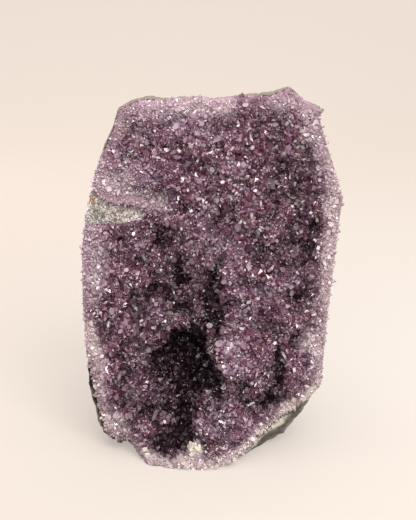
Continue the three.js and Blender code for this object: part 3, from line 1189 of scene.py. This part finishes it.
@dataclass
class AmethystCrust:
    """The crust that lines the geode's cavity: grown-together quartz, thick with small crystals."""

    node: bpy.types.Object
    voxel: float = 1.3 * MM
    point_radius: float = 3.6 * MM  # of the points that the solid has in place of crystals
    recess: float = 1.0 * MM  # of the sheet's outer walls, so that crystals just reach them
    raised: float = 1.0 * MM  # the sheet in front of the bottoms between those points
    knob: float = 9.0 * MM  # width of the round knobs that the crystals gather into
    knob_height: float = 2.2 * MM
    wander: float = 3.5 * MM  # of the streaks' edges
    pale_rim: float = 10.0 * MM
    bare_past: float = 26 * MM  # from the ledge, the edge's sides have no crystals
    # Where crystals grow over the top edge: the middle, half the width, and the least height.
    over_top: tuple[float, float, float] = (-16 * MM, 20 * MM, 185 * MM)
    crops: Sequence[Crop] = (
        Crop(
            "crystals", DRUSE, Amethyst("amethyst_points"), 1.6 * MM, 4e6, 1.7 * MM, 4.1 * MM, LEAN, 11
        ),
        Crop("fine_crystals", SEEDS, CLOUDY, 1.2 * MM, 4e6, 1.2 * MM, 2.3 * MM, LEAN, 31),
        # Painted shade: darker, duller crystals where the hollow is darkest.
        Crop("deep_crystals", DRUSE, SHADED_POINTS, 1.3 * MM, 4e6, 1.4 * MM, 3.4 * MM, LEAN, 91, "core"),
        Crop("milky_crystals", SEEDS, MILKY, 1.0 * MM, 4e6, 1.2 * MM, 2.3 * MM, WIDE_LEAN, 71, "milk"),
    )
    streaks: Sequence[Streak] = (
        # Furrows between the lobes, darkened by painted shade.
        Streak((-12, 44), 10, (-16, 12), depth=2.5, dark=0.95),
        Streak((51, 168), 10, (45, 84), depth=2.5, dark=0.4),
        Streak((-50, 131), 8, (-28, 125), depth=3.0, dark=0.7),
        Streak((30, 190), 13, (52, 176), depth=1.5, dark=0.15),
        Streak((-20, 104), 11, (-30, 60), depth=1.0, dark=0.3),
        Streak((-46, 60), 12, (-32, 24), depth=0.5, dark=0.3),
        # Places where the crystals are darker, partly in their own tone and partly by painted shade, some
        # of them in a furrow too.
        Streak((-38, 84), 10, dark=0.75),
        Streak((-15, 82), 10, dark=0.8),
        Streak((-22, 108), 8, (-13, 108), dark=0.55),
        Streak((47, 67), 7, dark=0.5),
        Streak((54, 134), 8, (57, 117), dark=0.3),
        Streak((-5, 30), 6, dark=0.5),
        Streak((-22, 34), 8, (-31, 35), dark=0.7),
        Streak((41, 29), 6, dark=0.4),
        Streak((-12, 92), 15, (4, 82), dark=0.5),
        Streak((-27, 45), 12, dark=1.0),
        Streak((-40, 32), 13, (-20, 22), dark=0.5),
        Streak((34, 56), 9, (38, 34), dark=0.5),
        Streak((-32, 119), 9, (-42, 110), dark=0.3),
        Streak((34, 178), 11, (36, 150), dark=0.35),
        Streak((-28, 12), 9, (-14, 15), dark=0.9),
        Streak((-8, 68), 9, (-2, 47), depth=3.5, dark=1.0),
        Streak((-13, 51), 9, (3, 46), dark=0.8),
        Streak((5, 113), 3, (2, 84), depth=1.5, dark=0.65),
        Streak((12, 48), 7, (22, 34), dark=0.35),
        Streak((-34, 93), 6, (-16, 92), dark=0.6),
        Streak((5, 75), 8, dark=0.9),
        Streak((-5, 44), 8, (4, 36), dark=0.8),
        Streak((-18, 49), 8, dark=0.4),
        # Places where painted light makes the crystals lighter.
        Streak((9, 68), 9, (13, 54), bright=0.35),
        Streak((4, 106), 8, bright=0.4),
        Streak((-7, 22), 7, bright=0.3),
        Streak((18, 26), 13, (20, 18), bright=0.2),
        Streak((3, 30), 9, (6, 20), bright=0.35),
        Streak((14, 90), 9, (17, 80), bright=0.2),
        Streak((-26, 78), 9, bright=0.25),
        Streak((-3, 134), 9, bright=0.45),
        Streak((37, 187), 8, bright=0.5),
        Streak((48, 171), 8, (56, 172), bright=0.45),
        Streak((-64, 127), 8, bright=0.6),
        Streak((-39, 55), 8, bright=0.45),
        Streak((57, 58), 7, bright=0.5),
        Streak((31, 91), 8, bright=0.4),
        Streak((47, 97), 7, bright=0.25),
        Streak((-4, 192), 12, (-6, 182), bright=0.35),
        Streak((-20, 183), 9, bright=0.45),
        Streak((-48, 163), 14, (-33, 153), bright=0.4),
        Streak((-38, 179), 8, bright=0.4, pale=0.2),
        Streak((52, 188), 8, (54, 178), bright=0.4, pale=0.35),
        Streak((-58, 147), 7, (-44, 146), bright=0.4, pale=0.45),
        Streak((-4, 122), 9, (10, 112), bright=0.4),
        Streak((10, 160), 9, (16, 150), bright=0.2),
        Streak((-34, 194), 9, (6, 195), bright=0.6, pale=0.6),
        Streak((34, 196), 7, (48, 191), bright=0.3, pale=0.45),
        # Milky crystals along the rims, most of them made lighter by painted light too, and one cream clump
        # near the foot.
        Streak((-62, 168), 10, (-63, 150), pale=0.4, bright=0.4),
        Streak((-66, 132), 11, (-67, 92), pale=0.35, bright=0.4),
        Streak((-58, 155), 8, (-48, 153), pale=0.6, bright=0.2),
        Streak((-67, 75), 5, (-66, 60), pale=0.8, bright=0.2),
        Streak((-64, 58), 5, (-61, 30), pale=0.5, bright=0.2),
        Streak((-54, 18), 12, pale=0.7, bright=0.2),
        Streak((-58, 19), 8, pale=0.9),
        Streak((-38, 5), 6, (-14, -1), pale=0.75, bright=0.2),
        Streak((-18, 2), 6, (-6, 2), pale=0.8, bright=0.2),
        Streak((-4, 0), 7, (14, 3), pale=0.85, bright=0.2),
        Streak((-8.6, 9.4), 5.2, pale=2.2),
        Streak((10, 4), 8, (30, 16), pale=0.8, bright=0.2),
        Streak((31, 15), 6, (60, 42), pale=0.9, bright=0.2),
        Streak((52, 67), 8, (60, 60), pale=0.7, bright=0.3),
        Streak((66, 165), 8, (64, 70), pale=0.65, bright=0.2),
        Streak((-28, 140), 7, (-40, 143), pale=0.45, bright=0.2),
    )

    def build(self, growth: Growth) -> list[bpy.types.Object]:
        """Makes the sheet and its crystals.

        Args:
            growth: The tree that grows them.

        Returns:
            The pieces.
        """
        face = Relief.of_node(self.node, 1.0 * MM)
        ground = face.without_points(self.point_radius, 1.2 * MM)
        sheet = remeshed_copy(self.node, "crust_sheet", self.voxel)
        self.shape(sheet.data, face, ground)
        sheet.data.materials.append(AmethystMass("amethyst_mass").make())
        low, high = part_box(self.node.name)
        heights = np.linspace(low.z, high.z + 1 * MM, 4)
        pieces = [sheet]
        for crop in self.crops:
            names = (f"{crop.name}_{part}" for part in ("foot", "middle", "top"))
            pieces += crop.planted(growth, sheet, dict(zip(names, zip(heights, heights[1:]))))
        for crystals in pieces[1:]:
            set_points(crystals.data, points_of(crystals.data))  # above the flat cut
        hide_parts(self.node.name)
        return [ride(piece) for piece in pieces]

    def knobs(self, points: Grid) -> Grid:
        """Works out how far round knobs stand out: 1 on top of one, 0 or less between them."""

        def bulge(place: Vector) -> float:
            """The height of the nearest knob over a place."""
            return 1 - (noise.voronoi(place)[0][0] / 0.62) ** 2

        def height(point: Grid) -> float:
            """Large knobs with small ones on them."""
            wave = 0.35 * noise.noise_vector(Vector(point) / (1.3 * self.knob))
            place = Vector(point) / self.knob + wave
            return 0.65 * bulge(place) + 0.35 * bulge(2.1 * place)

        return np.array([height(point) for point in points])

    def lie_of(self, points: Grid, face: Relief, ground: Relief) -> Lie:
        """Works out how the sheet's points lie.

        Args:
            points: Rows of x, y and z.
            face: The solid's face.
            ground: The same without its points.

        Returns:
            A number of each kind for each point.
        """
        x, y, z = points.T.copy()
        behind = y - ground.at(x, z)
        drift = self.wander * noise_at(points, noise.noise_vector, 4 * self.wander)
        edge = face.from_edge(x, z)
        return Lie(
            x,
            z,
            behind,
            behind < 1.2 * MM,
            drift,
            np.array([streak.share(x + drift[:, 0], z + drift[:, 2]) for streak in self.streaks]),
            self.knobs(points),
            edge,
            smooth_step(edge, 0, 6 * MM),
        )

    def shape(self, mesh: bpy.types.Mesh, face: Relief, ground: Relief) -> None:
        """Smooths the solid's points off the sheet and gathers it into knobs and furrows.

        Args:
            mesh: The sheet's mesh, which is changed and gets the numbers that the crystals follow.
            face: The solid's face.
            ground: The same without its points.
        """
        points = points_of(mesh)
        outward = normals_of(mesh)
        lie = self.lie_of(points, face, ground)
        furrows = (lie.shares.T @ [streak.depth for streak in self.streaks]) * MM
        relief = self.knob_height * (lie.knobs - 0.4) * lie.settled
        smooth = ground.at(lie.x, lie.z) + furrows - self.raised - relief
        points[:, 1] = np.where(lie.in_front, smooth, points[:, 1])
        walls = smooth_step(lie.edge, 4 * MM, 0) * smooth_step(lie.z, 2 * MM, 6 * MM) * lie.in_front
        points[:, 0] -= self.recess * walls * outward[:, 0]
        points[:, 2] -= self.recess * walls * outward[:, 2]
        set_points(mesh, points)
        wide = ground.with_cells(np.where(np.isfinite(face.cells), ground.cells, np.nan))
        self.number(mesh, lie, ground, wide)

    def number(self, mesh: bpy.types.Mesh, lie: Lie, ground: Relief, wide: Relief) -> None:
        """Writes the numbers that the crystals and the finishes follow.

        Args:
            mesh: The shaped sheet.
            lie: How its points lay before.
            ground: The smooth face.
            wide: The same, holding no number beside the face.
        """
        x, z = lie.x, lie.z
        floor = ground.at(x, z)
        facing = -normals_of(mesh)[:, 1]
        # How far a point lies in a broad hollow, in a narrow one, and between knobs: all three are painted
        # shade on its crystals.
        broad = 0.8 * smooth_step(floor - wide.blurred(16 * MM).at(x, z), -1 * MM, 14 * MM)
        near = smooth_step(floor - wide.blurred(5 * MM).at(x, z), 0.8 * MM, 4 * MM)
        crease = 0.65 * smooth_step(lie.knobs, 0.5, -0.2)
        inward = smooth_step(lie.edge, 3 * MM, 12 * MM)
        streak_shade, bright, pale = (
            (lie.shares.T * [getattr(streak, kind) for streak in self.streaks]).max(axis=1)
            for kind in ("dark", "bright", "pale")
        )
        milky = np.minimum(pale, 1)
        # Painted shade: hollows, creases and dark streaks darken the crystals, less where they are milky or
        # have painted light.
        hollow = np.clip((broad + near + crease + streak_shade) * inward * (1 - milky) * (1 - 0.5 * bright), 0, 0.96)
        # Where the painted shade is strongest, darker and duller crystals grow instead.
        core = smooth_step(hollow, 0.75, 0.95)
        # The rim is milky and also painted paler, as if lit through its thin edge, more so at the sides,
        # but not by the ledge.
        from_ledge = np.hypot(x - LEDGE[0], z - LEDGE[1])
        sideways = smooth_step(np.abs(x), 25 * MM, 60 * MM)
        rim = (0.15 + 0.3 * sideways) * smooth_step(lie.edge + 2 * lie.drift[:, 1], self.pale_rim, 0)
        rim = rim * smooth_step(from_ledge, 18 * MM, 32 * MM)
        # The edge's sides are bare, and so is the back.
        middle, half_width, height = self.over_top
        over_top = (z > height) & (np.abs(x - middle) < half_width)
        bare = (lie.edge < 4 * MM) & (facing < 0.45) & (from_ledge > self.bare_past) & ~over_top
        grown = (lie.in_front | (facing > 0.1)) & ~bare
        sizes = noise_at(points_of(mesh), noise.noise, 26 * MM)
        for name, values in {
            "grow": grown * (1 - core),
            "core": grown * core,
            "milk": grown * smooth_step(milky, 0.4, 0.9),
            "girth": (0.7 + 0.3 * lie.settled) * (1 + 0.35 * sizes),
            "free": 0.2 + 0.8 * lie.settled,
            "pale": np.maximum(rim, pale),
            "bright": bright,
            "hollow": hollow,
            "wall": smooth_step(facing, 0.5, 0.2),
            "behind": smooth_step(lie.behind, 1 * MM, 10 * MM),
        }.items():
            set_attribute(mesh, name, values)


@dataclass
class QuartzBand:
    """The thin band of milky quartz between the crystals and the rock, bare on a ledge at the left."""

    node: bpy.types.Object
    voxel: float = 1.1 * MM
    swell: float = 0.25 * MM  # to close the seams beside it
    lump: float = 3.0 * MM
    lump_height: float = 0.5 * MM
    stain: Place = (-62.5 * MM, 134.5 * MM)  # the ledge's outer end
    rust: Place = (-65 * MM, 141.5 * MM)
    grains: Crop = Crop(
        "quartz_grains",
        SEEDS,
        QuartzGrains("quartz_grains"),
        0.9 * MM,
        2.5e6,
        0.9 * MM,
        2.4 * MM,
        WIDE_LEAN,
        51,
    )

    def build(self, growth: Growth) -> list[bpy.types.Object]:
        """Makes the band and its grains.

        Args:
            growth: The tree that scatters them.

        Returns:
            The pieces.
        """
        band = remeshed_copy(self.node, "quartz", self.voxel)
        points = points_of(band.data)
        normals = normals_of(band.data)
        lumps = noise_at(points, lambda place: noise.fractal(place, 1.0, 2.0, 3), self.lump)
        points += normals * (self.swell + self.lump_height * lumps)[:, None]
        set_points(band.data, points)
        x, _, z = points.T
        mottled = 0.5 + 0.5 * np.clip(lumps, -1, 1)
        green = smooth_step(np.hypot(x - self.stain[0], z - self.stain[1]), 7 * MM, 3 * MM)
        rust = smooth_step(np.hypot(x - self.rust[0], z - self.rust[1]), 2.4 * MM, 1 * MM)
        from_ledge = np.hypot(x - LEDGE[0], z - LEDGE[1])
        on_ledge = (-normals[:, 1] > 0.2) & (from_ledge < 30 * MM)
        for name, values in {
            "green": green * (0.5 + 0.5 * mottled),
            "rust": rust,
            "aged": smooth_step(from_ledge, 22 * MM, 30 * MM),
            "grow": on_ledge * (1 - 0.7 * green) * (1 - rust),
            "girth": np.ones(len(points)),
            "free": np.ones(len(points)),
        }.items():
            set_attribute(band.data, name, values)
        band.data.materials.append(MilkyQuartz("milky_quartz").make())
        grains = self.grains.planted(growth, band, {self.grains.name: (0.0, 1.0)})
        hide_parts(self.node.name)
        return [ride(piece) for piece in (band, *grains)]


@dataclass
class BasaltShell:
    """The rock round the geode: a weathered outside and a flat sawn base."""

    node: bpy.types.Object
    voxel: float = 1.6 * MM
    swell: float = 0.2 * MM
    rust: tuple[float, float, float] = (-57 * MM, -24 * MM, 22 * MM)
    fresh: tuple[float, float, float] = (-66 * MM, -30 * MM, 45 * MM)  # where painted shadow makes the rock nearly black
    # Pale marks along the crust's edge; the dark marks are painted shade under the rock's lower right
    # corner.
    marks: Sequence[Streak] = (
        Streak((16, 0.5), 4, (50, 31), pale=1.0),
        Streak((35, 14), 2.5, (39, 17), pale=1.0),
        Streak((15, -3), 5, (37, 9), dark=0.6),
        Streak((37, 9), 4, (48, 26), dark=0.5),
    )

    def build(self) -> bpy.types.Object:
        """Makes the shell."""
        piece = remeshed_copy(self.node, "basalt", self.voxel)
        points = points_of(piece.data)
        normals = normals_of(piece.data)
        outside = smooth_step(points[:, 2], 0, 4 * MM)
        broad = noise_at(points, lambda place: noise.fractal(place, 1.0, 2.0, 4), 16 * MM)
        rough = noise_at(points, lambda place: noise.fractal(place, 1.0, 2.0, 3), 4 * MM)
        move = self.swell + outside * (1.6 * MM * broad + 0.5 * MM * rough)
        points += normals * move[:, None]
        set_points(piece.data, points)
        away = np.linalg.norm(points - np.array(self.rust), axis=1)
        set_attribute(piece.data, "rust", smooth_step(away, 9 * MM, 3 * MM))
        away = np.linalg.norm((points - np.array(self.fresh)) * (1, 1, 0.6), axis=1)
        x, y, z = points.T
        pale, dark = (
            (y < 0) * np.max([getattr(mark, kind) * mark.share(x, z) for mark in self.marks], axis=0)
            for kind in ("pale", "dark")
        )
        set_attribute(piece.data, "dusty", pale)
        set_attribute(piece.data, "fresh", np.maximum(smooth_step(away, 22 * MM, 12 * MM), dark))
        piece.data.materials.append(WeatheredBasalt("weathered_basalt").make())
        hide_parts(self.node.name)
        return ride(piece)


# --------------------------------------------------------------------------- the studio


@dataclass
class Studio:
    """A glowing acrylic sheet under and behind the geode, its glow painted light, three soft lamps and the
    camera.
    """

    middle: Vector
    distance: float = 0.9
    elevation: float = math.radians(16)
    lens: float = 111.8
    aim: Vector = Vector((-2.3 * MM, 0, 3.6 * MM))
    room: str = "fffaf5"
    room_strength: float = 0.42
    lamp_tint: str = "fffcf8"

    def build(self) -> None:
        """Makes the sheet, the lights and the camera."""
        self.sheet()
        self.lights()
        self.camera()

    def sheet(self) -> None:
        """Lays the sheet: a floor that curves up behind."""
        half_width, front, back, radius, top = 7.0, -7.0, 0.8, 1.4, 3.5
        profile = [(front, 0.0)]
        turns = 16
        for k in range(turns + 1):
            angle = k / turns * math.pi / 2
            profile.append((back + radius * math.sin(angle), radius * (1 - math.cos(angle))))
        profile.append((back + radius, top))
        points = [(x, y, z) for y, z in profile for x in (-half_width, half_width)]
        faces = [(2 * k, 2 * k + 1, 2 * k + 3, 2 * k + 2) for k in range(len(profile) - 1)]
        mesh = bpy.data.meshes.new("paper")
        mesh.from_pydata(points, [], faces)
        mesh.shade_smooth()
        mesh.materials.append(GlowingAcrylic("cream_acrylic").make())
        new_object("paper", mesh)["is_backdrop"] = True

    def lights(self) -> None:
        """Hangs the lamps and lights the room round them."""
        world = bpy.data.worlds.new("room")
        bpy.context.scene.world = world
        world.use_nodes = True
        background = world.node_tree.nodes["Background"]
        background.inputs["Color"].default_value = linear(self.room)
        background.inputs["Strength"].default_value = self.room_strength
        self.lamp("window", Vector((0.8, -2.4, 2.0)), 1.7, 122.0)
        self.lamp("fill", Vector((-0.9, -2.7, 1.2)), 2.0, 36.0)
        self.lamp("ceiling", Vector((0.1, -0.2, 2.6)), 3.2, 74.0)

    def lamp(self, name: str, place: Vector, size: float, power: float) -> None:
        """Hangs one square lamp that looks at the geode.

        Args:
            name: The lamp's name.
            place: Where it hangs.
            size: The length of its sides.
            power: Its power in watts.
        """
        light = bpy.data.lights.new(name, "AREA")
        light.size = size
        light.energy = power
        light.color = linear(self.lamp_tint)[:3]
        made = bpy.data.objects.new(name, light)
        made.location = place
        made.rotation_euler = (self.middle - place).to_track_quat("-Z", "Y").to_euler()
        bpy.context.scene.collection.objects.link(made)

    def camera(self) -> None:
        """Sets up the camera in front of the geode and a little above it."""
        data = bpy.data.cameras.new("camera")
        data.lens = self.lens
        data.clip_end = 20.0
        made = bpy.data.objects.new("camera", data)
        back = Vector((0, -math.cos(self.elevation), math.sin(self.elevation)))
        made.location = self.middle + self.aim + self.distance * back
        made.rotation_euler = (-back).to_track_quat("-Z", "Y").to_euler()
        bpy.context.scene.collection.objects.link(made)
        bpy.context.scene.camera = made


def main() -> None:
    """Builds the geode round its frame, and the studio round both."""
    logging.basicConfig(level=logging.INFO, format="%(message)s")
    noise.seed_set(NOISE_SEED)
    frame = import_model()
    nodes = frame["nodes"]
    low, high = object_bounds()
    Studio((low + high) / 2).build()
    BasaltShell(nodes["basalt_shell"]).build()
    growth = Growth()
    QuartzBand(nodes["quartz_band"]).build(growth)
    AmethystCrust(nodes["amethyst_crust"]).build(growth)
    bpy.context.scene.view_settings.view_transform = "Standard"


if __name__ == "__main__":
    main()
